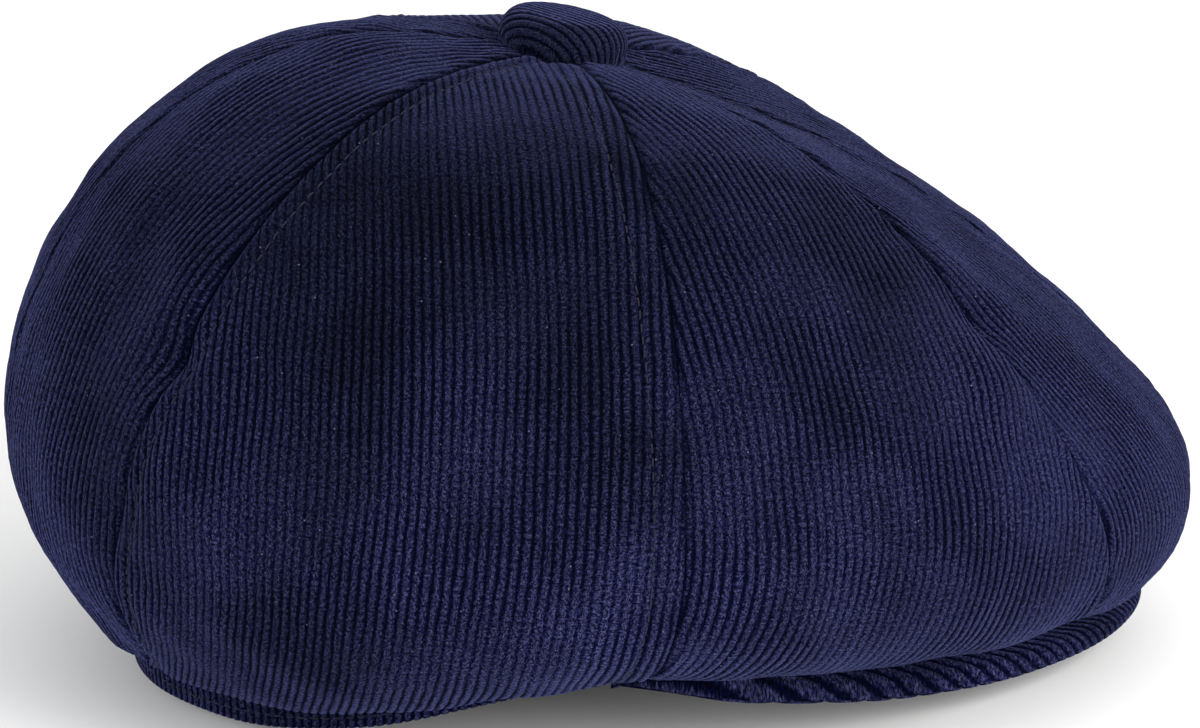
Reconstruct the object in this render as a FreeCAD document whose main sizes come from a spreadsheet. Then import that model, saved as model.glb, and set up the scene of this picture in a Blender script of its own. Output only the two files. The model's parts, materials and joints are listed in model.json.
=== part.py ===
import FreeCAD, Part
import Sketcher
import math
import os
from FreeCAD import Placement, Rotation, Vector

# An eight-panel corduroy newsboy cap with a stiff sewn-in peak.
# Millimetres. The origin is the middle of the head opening, level with the hem at the back of the
# neck. +Z is up, -Y is the front of the cap and +X is the wearer's left.

# ---------------------------------------------------------------- driving dimensions

# The crown and its lining are each drawn as a stack of level rings from the button down to the
# top of the band. A ring is an ellipse that may reach further to the front than to the back, and
# it rides higher at the sides than at the front and the back.
RING_WORDS = ("half_width", "front_reach", "back_reach", "front_height", "side_height", "back_height")
CROWN_RINGS = (
    (4, 4, 4, 144, 144, 144),
    (42, 62, 46, 124.5, 147.5, 156),
    (84, 107, 92, 93, 129, 140),
    (114, 136, 122, 65, 91, 101),
    (131, 151, 134, 49, 60, 62),
    (128, 150, 128, 30, 39, 35),
    (114, 141, 114, 14, 28, 17),
    (97, 119, 109, 12, 22, 6),
    (89, 106, 106, 30.4, 41.4, 22.4),
)
LINING_RINGS = (
    (6, 6, 6, 140, 140, 140),
    (41, 60, 45, 120.5, 145, 153.5),
    (81, 103, 89, 89, 124, 135),
    (110, 131, 118, 62, 88, 98),
    (123, 140, 127, 52, 62, 66),
    (106, 122, 112, 43, 51, 40),
    (86, 103, 103, 31.5, 42.5, 23.5),
)
DIMENSIONS = {
    "cloth": 1.3,                 # corduroy thickness
    "lining_cloth": 0.5,
    "seam_gap": 0.2,              # between neighbouring pieces of cloth
    "side_blend": 0.5,            # how far the raised side runs round towards the back
    "hem_half_width": 86,         # outside of the band at the hem
    "hem_half_length": 103,
    "band_flare": 1.5,            # how much wider the band is at its top
    "band_height": 22,
    "hem_front": 8,               # height of the hem at the front, side and back
    "hem_side": 19,
    "hem_back": 0,
    "band_split": 92,             # degrees round from the front to the ends of the front band
    "peak_end": 91,               # degrees round from the front to the ends of the peak
    "interlining_cloth": 0.8,
    "interlining_depth": 1.6,     # from the outside of the band inwards
    "sweatband_cloth": 1.2,
    "sweatband_depth": 3.2,
    "sweatband_height": 28,
    "label_cloth": 0.4,
    "label_half_angle": 9,        # degrees, on each side of the centre back
    "label_low_edge": 6,          # above the hem
    "label_high_edge": 22,
    "inner_hem_lift": 1.0,        # the inner layers stop this far above the folded hem
    "peak_half_width": 90,
    "peak_reach": 140.5,            # from the middle of the opening to the front edge
    "peak_edge_height": 8.5,      # middle of the peak's thickness along its front edge
    "peak_corner_height": 21,
    "peak_corner_width": 1.5,
    "peak_seam_clearance": 0.8,
    "peak_seam_rise": 2.8,        # middle of the peak's thickness above the hem at its seam
    "board": 2.0,                 # stiff board inside the peak
    "board_margin": 0.07,         # share of the peak's depth that has no board in it
    "board_end_gap": 10,          # degrees from each end of the peak to the end of the board
    "peak_edge_cloth_gap": 0.1,   # each cover stands this far off the middle at the front edge
    "board_clearance": 0.3,
    "button_radius": 15,
    "button_height": 7.2,
    "button_cover_cloth": 1.3,
    "button_shell_sheet": 0.6,
    "button_crown_radius": 5.5,   # rounding of the button's top edge
    "button_lift": 1.8,           # rim of the button above the crown's pole
    "button_tilt": 11,            # degrees that the button leans to the front
    "back_plate_sheet": 1.2,
    "prong_width": 3.0,
    "prong_leg_width": 2.4,
    "prong_head_length": 7.8,
    "prong_sheet": 0.7,
    "prong_foot": 5.0,
    "prong_leg_offset": 0.6,      # from the button's axis to the middle of each leg
    "prong_clearance": 0.05,      # to the back plate above and the washer below
    "washer_radius": 9,
    "washer_sheet": 0.6,
    "washer_drop": 7.0,           # below the crown's pole, along the button's axis
    "snap_radius": 5.5,
    "snap_clearance": 0.35,
    "snap_base": 0.5,
    "snap_post_radius": 1.8,
    "snap_post_height": 1.0,
    "snap_bore_radius": 2.3,
    "snap_socket_height": 0.9,
}

SEAM_ANGLES = {                   # degrees from the front, at the button and at the band
    "centre_front": (0, 0),
    "front": (48, 36),
    "side": (84, 90),
    "back": (134, 160),
    "centre_back": (180, 180),
}
PANELS = {
    "front": ("centre_front", "front"),
    "side_front": ("front", "side"),
    "side_back": ("side", "back"),
    "back": ("back", "centre_back"),
}
SIDES = {"right": 1, "left": -1}  # the wearer's right is on the -X side
SADDLE_START = 0.4                # share of the rings, from the button down, that have no saddle in them
SADDLE_SPREAD = 0.35              # share of the rings over which the saddle grows
PANEL_COLUMNS = 6                 # grid points across a panel
ANGLE_STEP = 1e-3                 # radians, for the direction round the cap
TOUCHING = 1e-4                   # heights this close are the same height

# ---------------------------------------------------------------- document and sheet

document = FreeCAD.newDocument("newsboy_cap")
sheet = document.addObject("Spreadsheet::Sheet", "dims")
next_row = 1


def put_in_sheet(alias, value):
    """Writes one driving dimension into the next free row of the sheet."""
    global next_row
    sheet.set("A%d" % next_row, alias)
    sheet.set("B%d" % next_row, str(value))
    sheet.setAlias("B%d" % next_row, alias)
    next_row += 1


for dimension_name, dimension_value in DIMENSIONS.items():
    put_in_sheet(dimension_name, dimension_value)
for cloth_name, cloth_rings in (("crown", CROWN_RINGS), ("lining", LINING_RINGS)):
    for ring_number, ring_values in enumerate(cloth_rings):
        for ring_word, ring_value in zip(RING_WORDS, ring_values):
            put_in_sheet("%s_ring_%d_%s" % (cloth_name, ring_number, ring_word), ring_value)
document.recompute()


def size(alias):
    return float(sheet.get(alias))


def read_rings(cloth_name, count):
    """Reads a stack of rings back out of the sheet."""
    rings = []
    for number in range(count):
        values = {}
        for word in RING_WORDS:
            values[word] = size("%s_ring_%d_%s" % (cloth_name, number, word))
        rings.append(values)
    return rings


# ---------------------------------------------------------------- shape of the crown


def saddle_height(front, side, back, angle):
    """Height round the cap: it falls evenly to the front, and quickly behind the raised side."""
    turn = math.cos(angle)
    if turn > 0:
        return side + (front - side) * turn * turn
    return back + (side - back) * math.exp(-(turn / size("side_blend")) ** 2)


class RingSurface:
    """The smooth surface through a stack of rings, by angle round and share of the way down."""

    def __init__(self, rings):
        self.rings = rings
        last = len(rings) - 1
        spans = last - 2
        self.knots = [step / spans for step in range(spans + 1)]
        self.multiplicities = [4] + [1] * (spans - 1) + [4]
        shares = [(number / last - SADDLE_START) / SADDLE_SPREAD for number in range(last + 1)]
        self.saddle_shares = [min(1.0, max(0.0, share)) for share in shares]

    def ring_height(self, number, angle):
        """Rings near the button rise evenly to the sides and those near the band are saddles."""
        ring = self.rings[number]
        share = self.saddle_shares[number]
        side = ring["side_height"]
        turn = math.cos(angle)
        end = ring["front_height"] if turn > 0 else ring["back_height"]
        even = side + (end - side) * turn * turn
        saddle = saddle_height(ring["front_height"], side, ring["back_height"], angle)
        return (1 - share) * even + share * saddle

    def meridian(self, angle):
        poles = []
        for number, ring in enumerate(self.rings):
            reach = ring["front_reach"] if math.cos(angle) > 0 else ring["back_reach"]
            across = -ring["half_width"] * math.sin(angle)
            along = -reach * math.cos(angle)
            poles.append(Vector(across, along, self.ring_height(number, angle)))
        curve = Part.BSplineCurve()
        curve.buildFromPolesMultsKnots(poles, self.multiplicities, self.knots, False, 3)
        return curve

    def point(self, angle, down, depth=0.0):
        """The point at an angle and a share of the way down, moved inwards by a depth."""
        here = self.meridian(angle)
        place = here.value(down)
        if depth == 0.0:
            return place
        beside = self.meridian(angle + ANGLE_STEP).value(down)
        outwards = (beside - place).cross(here.tangent(down)[0])
        outwards.normalize()
        return place - outwards * depth


crown_surface = RingSurface(read_rings("crown", len(CROWN_RINGS)))
lining_surface = RingSurface(read_rings("lining", len(LINING_RINGS)))

# ---------------------------------------------------------------- solids from sheets of cloth


def chord_shares(lines):
    """Parameters from 0 to 1 that follow the mean spacing of the points along some lines."""
    totals = [0.0]
    for place in range(1, len(lines[0])):
        steps = [(line[place] - line[place - 1]).Length for line in lines]
        totals.append(totals[-1] + sum(steps) / len(steps))
    return [total / totals[-1] for total in totals]


def curve_through(points, shares):
    curve = Part.BSplineCurve()
    curve.interpolate(Points=points, Parameters=shares)
    return curve


class Skin:
    """A smooth surface through a grid of points, found one direction at a time."""

    def __init__(self, grid, u_shares, v_shares):
        lines = [curve_through(line, v_shares) for line in grid]
        crossings = []
        for poles in zip(*(line.getPoles() for line in lines)):
            crossings.append(curve_through(list(poles), u_shares))
        self.u_curve = crossings[0]
        self.v_curve = lines[0]
        self.poles = [list(row) for row in zip(*(crossing.getPoles() for crossing in crossings))]

    def face(self):
        return face_from_poles(self.poles, self.u_curve, self.v_curve)

    def rims(self):
        """The four edges, each as its row of poles and a curve with its knots."""
        first_line = [row[0] for row in self.poles]
        last_line = [row[-1] for row in self.poles]
        return [(self.poles[0], self.v_curve), (self.poles[-1], self.v_curve),
                (first_line, self.u_curve), (last_line, self.u_curve)]


def face_from_poles(poles, u_curve, v_curve):
    surface = Part.BSplineSurface()
    surface.buildFromPolesMultsKnots(
        poles, u_curve.getMultiplicities(), v_curve.getMultiplicities(),
        u_curve.getKnots(), v_curve.getKnots(), False, False, u_curve.Degree, v_curve.Degree)
    return surface.toShape()


def sheet_solid(outer_grid, inner_grid):
    """A closed solid between two facing grids of points: two skins and four ruled rims."""
    u_shares = chord_shares([list(line) for line in zip(*outer_grid)])
    v_shares = chord_shares(outer_grid)
    outer = Skin(outer_grid, u_shares, v_shares)
    inner = Skin(inner_grid, u_shares, v_shares)
    straight = Part.BSplineCurve([Vector(0, 0, 0), Vector(1, 0, 0)])
    faces = [outer.face(), inner.face()]
    for (outer_poles, rim_curve), (inner_poles, _) in zip(outer.rims(), inner.rims()):
        faces.append(face_from_poles([outer_poles, inner_poles], straight, rim_curve))
    shell = Part.Shell(faces)
    shell.sewShape()
    solid = Part.Solid(shell)
    if solid.Volume < 0:
        shell.reverse()
        solid = Part.Solid(shell)
    return solid


pieces = []


def add_sheet(label, point_at, first_axis, second_axis, outer_depth, inner_depth):
    """Adds a named piece of cloth. point_at gives a point for two grid values and a depth."""
    outer_grid = [[point_at(first, second, outer_depth) for second in second_axis] for first in first_axis]
    inner_grid = [[point_at(first, second, inner_depth) for second in second_axis] for first in first_axis]
    piece = document.addObject("Part::Feature", label)
    piece.Label = label
    piece.Shape = sheet_solid(outer_grid, inner_grid)
    piece.Placement = Placement()
    pieces.append(piece)


def spread(first, last, count):
    return [first + (last - first) * step / (count - 1) for step in range(count)]


# ---------------------------------------------------------------- crown and lining panels


def seam_angle(seam, down):
    top, bottom = SEAM_ANGLES[seam]
    return math.radians(top + (bottom - top) * down)


def add_panels(prefix, surface, thickness, rows):
    """Eight pointed panels, each a hair narrower than the space between its two seams."""
    half_gap = size("seam_gap") / 2
    for panel, (first_seam, last_seam) in PANELS.items():
        for side, sign in SIDES.items():

            def panel_point(across, down, depth):
                first = seam_angle(first_seam, down)
                last = seam_angle(last_seam, down)
                rim = surface.point(sign * first, down)
                trim = half_gap / math.hypot(rim.x, rim.y)
                angle = first + trim + (last - first - 2 * trim) * across
                return surface.point(sign * angle, down, depth)

            label = "%s_%s_%s" % (prefix, panel, side)
            add_sheet(label, panel_point, spread(0, 1, PANEL_COLUMNS), spread(0, 1, rows), 0.0, thickness)


add_panels("crown_panel", crown_surface, size("cloth"), 26)
add_panels("lining_panel", lining_surface, size("lining_cloth"), 18)

# ---------------------------------------------------------------- band, interlining, sweatband


def hem_height(angle):
    return saddle_height(size("hem_front"), size("hem_side"), size("hem_back"), angle)


def band_point(angle, rise, depth):
    """A point on the band: degrees from the front, height above the hem and depth inwards."""
    turn = math.radians(angle)
    flare = size("band_flare") * rise / size("band_height")
    across = -(size("hem_half_width") + flare - depth) * math.sin(turn)
    along = -(size("hem_half_length") + flare - depth) * math.cos(turn)
    return Vector(across, along, hem_height(turn) + rise)


def add_band_layer(prefix, depth, thickness, lowest, highest):
    """One layer of the band, cut where the peak ends and, at the back, open by a seam's width."""
    corner = size("band_split")
    gap = math.degrees(size("seam_gap") / size("hem_half_width"))
    rises = spread(lowest, highest, 4)
    front_angles = spread(gap - corner, corner - gap, 25)
    back_angles = spread(corner, 360 - corner, 25)
    add_sheet(prefix + "_front", band_point, front_angles, rises, depth, depth + thickness)
    add_sheet(prefix + "_back", band_point, back_angles, rises, depth, depth + thickness)


inner_hem_lift = size("inner_hem_lift")
band_height = size("band_height")
add_band_layer("band", 0.0, size("cloth"), 0.0, band_height)
add_band_layer("interlining", size("interlining_depth"), size("interlining_cloth"),
               inner_hem_lift, band_height - inner_hem_lift)
add_band_layer("sweatband", size("sweatband_depth"), size("sweatband_cloth"),
               inner_hem_lift, size("sweatband_height"))

# A blank woven label lies against the inside of the sweatband at the back.
label_depth = size("sweatband_depth") + size("sweatband_cloth") + size("seam_gap")
label_angles = spread(180 - size("label_half_angle"), 180 + size("label_half_angle"), 7)
add_sheet("size_label", band_point, label_angles, spread(size("label_low_edge"), size("label_high_edge"), 4),
          label_depth, label_depth + size("label_cloth"))

# ---------------------------------------------------------------- peak


def peak_point(angle, outwards, lift):
    """A point of the peak: degrees from the front, share of the way out and height off its middle."""
    turn = math.radians(angle)
    seam_width = size("hem_half_width") + size("peak_seam_clearance")
    seam_length = size("hem_half_length") + size("peak_seam_clearance")
    corner_share = abs(angle) / size("peak_end")
    taper = (size("peak_half_width") - seam_width - size("peak_corner_width")) * corner_share ** 8
    edge_width = size("peak_half_width") - taper
    seam = Vector(-seam_width * math.sin(turn), -seam_length * math.cos(turn), 0)
    seam.z = hem_height(turn) + size("peak_seam_rise")
    edge = Vector(-edge_width * math.sin(turn), -size("peak_reach") * math.cos(turn), 0)
    corner_rise = size("peak_corner_height") - size("peak_edge_height")
    edge.z = size("peak_edge_height") + corner_rise * (1 - abs(math.cos(turn))) ** 3
    return seam + (edge - seam) * outwards + Vector(0, 0, lift)


def cover_lift(outwards):
    """Height of a cover's inner face off the peak's middle: over the board, then down to the edge."""
    past_board = max(0.0, outwards - 1 + size("board_margin")) / size("board_margin")
    over_board = size("board") / 2 + size("board_clearance")
    edge = size("peak_edge_cloth_gap")
    return edge + (over_board - edge) * (1 - past_board ** 2)


def add_peak_cover(label, direction):
    corner = size("peak_end")

    def cover_point(angle, outwards, depth):
        return peak_point(angle, outwards, direction * (cover_lift(outwards) + size("cloth") - depth))

    outwards = spread(0.0, 1 - size("board_margin"), 6) + [1 - size("board_margin") / 2, 1.0]
    add_sheet(label, cover_point, spread(-corner, corner, 33), outwards, 0.0, size("cloth"))


def board_point(angle, outwards, depth):
    return peak_point(angle, outwards, size("board") / 2 - depth)


board_end = size("peak_end") - size("board_end_gap")
add_sheet("peak_board", board_point, spread(-board_end, board_end, 27),
          spread(size("board_margin"), 1 - size("board_margin"), 5), 0.0, size("board"))
add_peak_cover("peak_top_cover", 1)
add_peak_cover("peak_under_cover", -1)

# ---------------------------------------------------------------- turned and pressed pieces


def new_body(label):
    body = document.addObject("PartDesign::Body", label)
    body.Label = label
    pieces.append(body)
    return body


def circle_sketch(body, name, radii, height="0"):
    """A sketch of circles about the body's own axis, on its XY plane or at a height above it."""
    sketch = body.newObject("Sketcher::SketchObject", name)
    plane = [item for item in body.Origin.OriginFeatures if item.Role == "XY_Plane"][0]
    sketch.AttachmentSupport = [(plane, "")]
    sketch.MapMode = "FlatFace"
    sketch.setExpression(".AttachmentOffset.Base.z", height)
    for number, radius in enumerate(radii):
        sketch.addGeometry(Part.Circle(Vector(0, 0, 0), Vector(0, 0, 1), 1 + number), False)
        sketch.addConstraint(Sketcher.Constraint("Coincident", number, 3, -1, 1))
        constraint = sketch.addConstraint(Sketcher.Constraint("Radius", number, 1 + number))
        sketch.setExpression("Constraints[%d]" % constraint, radius)
    return sketch


def add_pad(body, name, radii, length, height="0"):
    pad = body.newObject("PartDesign::Pad", name)
    pad.Profile = circle_sketch(body, name + "_sketch", radii, height)
    pad.setExpression("Length", length)
    document.recompute()
    return pad


def round_top_edge(body, name, base, edge_height, radius):
    """Rounds the circular edges that lie at one height of a body."""
    names = []
    for number, edge in enumerate(base.Shape.Edges):
        box = edge.BoundBox
        if abs(box.ZMin - edge_height) < TOUCHING and abs(box.ZMax - edge_height) < TOUCHING:
            names.append("Edge%d" % (number + 1))
    fillet = body.newObject("PartDesign::Fillet", name)
    fillet.Base = (base, names)
    fillet.setExpression("Radius", radius)
    document.recompute()
    return fillet


def add_dome(label, radius, height, rounding):
    """A solid round dome: a disc with its top edge rounded."""
    body = document.addObject("PartDesign::Body", label)
    pad = add_pad(body, label + "_pad", [radius], height)
    round_top_edge(body, label + "_rounding", pad, pad.Length.Value, rounding)
    return body


def add_domed_cup(label, radius, height, rounding, wall):
    """A round cup, mouth down, with a rounded top and an even wall."""
    cup = document.addObject("Part::Cut", label)
    cup.Label = label
    cup.Base = add_dome(label + "_outside", radius, height, rounding)
    inner_sizes = ["%s - %s" % (outer_size, wall) for outer_size in (radius, height, rounding)]
    cup.Tool = add_dome(label + "_inside", *inner_sizes)
    pieces.append(cup)
    return cup


cover = "dims.button_cover_cloth"
shell_wall = "dims.button_shell_sheet"
shell_radius = "(dims.button_radius - %s - dims.seam_gap)" % cover
shell_height = "(dims.button_height - %s - dims.seam_gap)" % cover
button_cover = add_domed_cup("button_cover", "dims.button_radius", "dims.button_height",
                             "dims.button_crown_radius", cover)
button_shell = add_domed_cup("button_shell", shell_radius, shell_height,
                             "(dims.button_crown_radius - %s)" % cover, shell_wall)

button_back = new_body("button_back")
add_pad(button_back, "button_back_plate",
        ["%s - %s - dims.seam_gap" % (shell_radius, shell_wall), "dims.prong_width / 2 + dims.seam_gap"],
        "dims.back_plate_sheet", "dims.seam_gap")

washer = new_body("button_washer")
add_pad(washer, "washer_plate", ["dims.washer_radius", "dims.prong_width / 2 + dims.seam_gap"],
        "dims.washer_sheet", "0 - dims.button_lift - dims.washer_drop")


def bound_box(label, lengths, corner):
    """A Part box whose three lengths and corner come from the sheet."""
    box = document.addObject("Part::Box", label)
    for name, length in zip(("Length", "Width", "Height"), lengths):
        box.setExpression(name, length)
    for name, place in zip("xyz", corner):
        box.setExpression(".Placement.Base." + name, place)
    return box


# The prong is a bent strip: a head on the back plate, two legs side by side through the crown,
# and a foot turned outwards under the washer on each leg.
head_height = "(dims.seam_gap + dims.back_plate_sheet + dims.prong_clearance)"
foot_height = "(0 - dims.button_lift - dims.washer_drop - dims.prong_clearance - dims.prong_sheet)"
prong_boxes = [
    bound_box("prong_head", ["dims.prong_head_length", "dims.prong_width", "dims.prong_sheet"],
              ["0 - dims.prong_head_length / 2", "0 - dims.prong_width / 2", head_height]),
]
leg_height = "%s - %s" % (head_height, foot_height)
leg_edge = "0 - dims.prong_leg_width / 2"
leg_sizes = ["dims.prong_sheet", "dims.prong_leg_width", leg_height]
foot_sizes = ["dims.prong_foot", "dims.prong_leg_width", "dims.prong_sheet"]
for hand, leg_middle, foot_side in (
        ("right", "0 - dims.prong_leg_offset", "0 - dims.prong_leg_offset - dims.prong_foot"),
        ("left", "dims.prong_leg_offset", "dims.prong_leg_offset")):
    leg_side = leg_middle + " - dims.prong_sheet / 2"
    prong_boxes.append(bound_box("prong_leg_" + hand, leg_sizes, [leg_side, leg_edge, foot_height]))
    prong_boxes.append(bound_box("prong_foot_" + hand, foot_sizes, [foot_side, leg_edge, foot_height]))
prong = document.addObject("Part::MultiFuse", "button_prong")
prong.Label = "button_prong"
prong.Shapes = prong_boxes
pieces.append(prong)

# The button leans to the front, square to the crown at its pole.
pole_height = crown_surface.rings[0]["side_height"]
lean = Rotation(Vector(1, 0, 0), size("button_tilt"))
lifted = Vector(0, 0, pole_height) + lean.multVec(Vector(0, 0, size("button_lift")))
for piece in (button_cover, button_shell, button_back, washer, prong):
    piece.Placement = Placement(lifted, lean)

# ---------------------------------------------------------------- press stud


def lowest_front_point():
    """The lowest point of the crown's front roll, on the middle line."""
    front = crown_surface.meridian(0.0)
    return min((front.value(down) for down in spread(0.5, 1.0, 200)), key=lambda place: place.z)


roll = lowest_front_point()
seam_reach = size("hem_half_length") + size("peak_seam_clearance")
stud_share = (-roll.y - seam_reach) / (size("peak_reach") - seam_reach)
stud_seat = peak_point(0.0, stud_share, cover_lift(stud_share) + size("cloth"))

snap_stud = new_body("snap_stud")
add_pad(snap_stud, "stud_base", ["dims.snap_radius"], "dims.snap_base")
add_pad(snap_stud, "stud_post", ["dims.snap_post_radius"], "dims.snap_base + dims.snap_post_height")
snap_stud.Placement = Placement(stud_seat + Vector(0, 0, size("snap_clearance")), Rotation())

snap_socket = new_body("snap_socket")
add_pad(snap_socket, "socket_ring", ["dims.snap_radius", "dims.snap_bore_radius"], "dims.snap_socket_height")
socket_drop = size("snap_clearance") + size("snap_socket_height")
snap_socket.Placement = Placement(roll - Vector(0, 0, socket_drop), Rotation())
print("press stud gap %.2f mm" % (roll.z - stud_seat.z))

# ---------------------------------------------------------------- check and write

document.recompute()
for item in document.Objects:
    if "Invalid" in item.State or "Error" in item.State:
        raise RuntimeError("%s failed to recompute: %s" % (item.Label, item.State))
os.makedirs("parts", exist_ok=True)
for piece in pieces:
    if piece.Shape.isNull() or not piece.Shape.isValid():
        raise RuntimeError(piece.Label + " is not a valid shape")
    piece.Shape.exportStep("parts/%s.step" % piece.Label)
print("%d pieces written" % len(pieces))
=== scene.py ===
"""A navy corduroy newsboy cap, built round its CAD frame.

Lengths are in millimetres and turned into metres where a mesh is made. Angles round the cap run
from the front (-Y) towards the wearer's right (-X).
"""
import json
import math

import bpy
import numpy as np
from mathutils import Matrix, Vector

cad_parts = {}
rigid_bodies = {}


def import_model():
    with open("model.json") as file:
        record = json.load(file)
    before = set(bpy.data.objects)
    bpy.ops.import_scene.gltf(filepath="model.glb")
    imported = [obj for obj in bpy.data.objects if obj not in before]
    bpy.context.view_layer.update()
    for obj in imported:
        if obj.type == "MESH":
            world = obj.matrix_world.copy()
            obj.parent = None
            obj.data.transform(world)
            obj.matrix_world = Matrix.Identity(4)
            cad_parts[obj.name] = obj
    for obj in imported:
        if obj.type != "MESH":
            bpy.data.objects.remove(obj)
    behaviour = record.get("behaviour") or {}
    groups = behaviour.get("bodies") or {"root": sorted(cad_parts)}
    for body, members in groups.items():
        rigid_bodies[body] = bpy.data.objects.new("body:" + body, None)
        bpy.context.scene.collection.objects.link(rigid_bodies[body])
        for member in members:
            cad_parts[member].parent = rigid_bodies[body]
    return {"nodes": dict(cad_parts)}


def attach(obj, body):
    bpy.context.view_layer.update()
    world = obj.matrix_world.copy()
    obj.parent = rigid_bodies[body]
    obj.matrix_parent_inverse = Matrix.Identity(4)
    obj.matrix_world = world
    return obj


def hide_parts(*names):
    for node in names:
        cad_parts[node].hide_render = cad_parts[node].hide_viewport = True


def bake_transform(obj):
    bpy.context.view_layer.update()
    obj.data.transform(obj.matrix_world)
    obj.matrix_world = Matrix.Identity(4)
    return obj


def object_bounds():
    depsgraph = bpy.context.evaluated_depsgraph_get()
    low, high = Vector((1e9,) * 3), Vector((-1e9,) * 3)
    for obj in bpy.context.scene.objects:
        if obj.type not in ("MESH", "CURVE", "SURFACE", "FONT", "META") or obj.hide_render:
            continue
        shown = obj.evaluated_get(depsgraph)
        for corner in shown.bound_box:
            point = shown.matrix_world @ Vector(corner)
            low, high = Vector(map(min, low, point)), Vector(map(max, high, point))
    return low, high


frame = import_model()
cad_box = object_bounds()
MM = 0.001

# ---- sizes

# The rings that the CAD crown and lining are drawn through, from the button down to the band.
# Each: half width, reach to the front and to the back, height at the front, side and back.
CROWN_RINGS = (
    (4, 4, 4, 144, 144, 144),
    (42, 62, 46, 124.5, 147.5, 156),
    (84, 107, 92, 93, 129, 140),
    (114, 136, 122, 65, 91, 101),
    (131, 151, 134, 49, 60, 62),
    (128, 150, 128, 30, 39, 35),
    (114, 141, 114, 14, 28, 17),
    (97, 119, 109, 12, 22, 6),
    (89, 106, 106, 30.4, 41.4, 22.4),
)
LINING_RINGS = (
    (6, 6, 6, 140, 140, 140),
    (41, 60, 45, 120.5, 145, 153.5),
    (81, 103, 89, 89, 124, 135),
    (110, 131, 118, 62, 88, 98),
    (123, 140, 127, 52, 62, 66),
    (106, 122, 112, 43, 51, 40),
    (86, 103, 103, 31.5, 42.5, 23.5),
)
DEGREE = 3  # of the curves through the rings
SADDLE_START = 0.4  # share of the rings, from the button down, with no saddle in them
SADDLE_SPREAD = 0.35  # share over which the saddle grows to its full height
SIDE_BLEND = 0.5  # how far the raised side runs round towards the back

SEAM_ANGLES = {  # degrees from the front, at the button and at the band
    "centre_front": (0, 0),
    "front": (48, 36),
    "side": (84, 90),
    "back": (134, 160),
    "centre_back": (180, 180),
}
# Each gore: its two seams, and how far from the first to the second lies the line that its wales
# run along, at the button and at the band.
GORES = {
    "front": ("centre_front", "front", (0.5, 0.5)),
    "side_front": ("front", "side", (0.5, 0.66)),
    "side_back": ("side", "back", (0.12, 0.12)),
    "back": ("back", "centre_back", (0.5, 0.5)),
}
SIDES = {"right": 1, "left": -1}

WALE = 2.3  # spacing of the corduroy's ribs
WALE_DEPTH = 0.4
WALE_MIDDLE = 0.6  # height of a rib, from 0 to 1, that lies at the cloth's plain surface
GROOVE_SHARPNESS = 3.2  # the higher, the narrower the grooves and the broader the wales
WALE_STEPS = 6  # columns of the mesh to each wale
ROW_STEP = 2.0  # spacing of the mesh's rows
TUCK_START = 0.84  # share of the way down where the crown turns under

HEM_HALF_WIDTH = 86  # outside of the band at the hem
HEM_HALF_LENGTH = 103
BAND_FLARE = 1.5  # how much wider the band is at its top, on each side
BAND_HEIGHT = 22
BAND_INSIDE_HEIGHT = 9  # how high the turned-up edge reaches inside
HEM_FRONT = 8  # heights of the hem
HEM_SIDE = 19
HEM_BACK = 0
BAND_SPLIT = 92  # degrees from the front, where its two lengths meet
HEM_FOLD = 3.0  # from the band's outside to its turned-up edge, round the interlining
HEM_TURN = 0.9  # height over which the hem turns under
HEM_SQUARENESS = 0.6  # 1 would make the turn round
SWEATBAND_DEPTH = 3.2
SWEATBAND_CLOTH = 1.2
SWEATBAND_HEIGHT = 28

PEAK_HALF_WIDTH = 90
PEAK_REACH = 140.5
PEAK_EDGE_HEIGHT = 8.5
PEAK_CORNER_HEIGHT = 21
PEAK_CORNER_WIDTH = 1.5
PEAK_SEAM_CLEARANCE = 0.8
PEAK_SEAM_RISE = 2.8
PEAK_END = 91
PEAK_HALF_THICKNESS = 2.6
PEAK_MARGIN = 0.07  # share of the peak's depth that has no board in it
PEAK_OVERHANG = 0.4  # how far the cloth wraps past the CAD's edge


# ---- meshes


def new_piece(name, points, triangles, body, material, pile=None, cloth=None):
    """A smooth mesh from triangles over points in millimetres, on a body of the frame."""
    used, corners = np.unique(triangles, return_inverse=True)
    mesh = bpy.data.meshes.new(name)
    mesh.vertices.add(len(used))
    mesh.vertices.foreach_set("co", (points[used] * MM).astype(np.float32).ravel())
    mesh.loops.add(3 * len(triangles))
    mesh.loops.foreach_set("vertex_index", corners.astype(np.int32).ravel())
    mesh.polygons.add(len(triangles))
    mesh.polygons.foreach_set("loop_start", np.arange(0, 3 * len(triangles), 3, dtype=np.int32))
    if cloth is not None:
        layer = mesh.uv_layers.new(name="cloth")
        layer.data.foreach_set("uv", (cloth[triangles.ravel()] * MM).astype(np.float32).ravel())
    if pile is not None:
        attribute = mesh.attributes.new("pile", "FLOAT", "POINT")
        attribute.data.foreach_set("value", pile[used].astype(np.float32))
    mesh.update(calc_edges=True)
    mesh.validate()
    mesh.shade_smooth()
    mesh.materials.append(material)
    piece = bpy.data.objects.new(name, mesh)
    bpy.context.scene.collection.objects.link(piece)
    if body:
        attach(piece, body)
    return piece


def grid_triangles(ids):
    """Triangles over a grid of point numbers, leaving out those that have collapsed."""
    a, b, c, d = ids[:-1, :-1], ids[1:, :-1], ids[1:, 1:], ids[:-1, 1:]
    halves = [np.stack(corners, -1).reshape(-1, 3) for corners in ((a, b, c), (a, c, d))]
    triangles = np.concatenate(halves)
    return triangles[(triangles != np.roll(triangles, 1, axis=1)).all(axis=1)]


def looks_along(points, triangles, directions):
    """Whether the triangles look along the directions given for the points."""
    a, b, c = (points[triangles[:, corner]] for corner in range(3))
    return np.einsum("ij,ij->i", np.cross(b - a, c - a), directions[triangles[:, 0]]).sum() > 0


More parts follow.
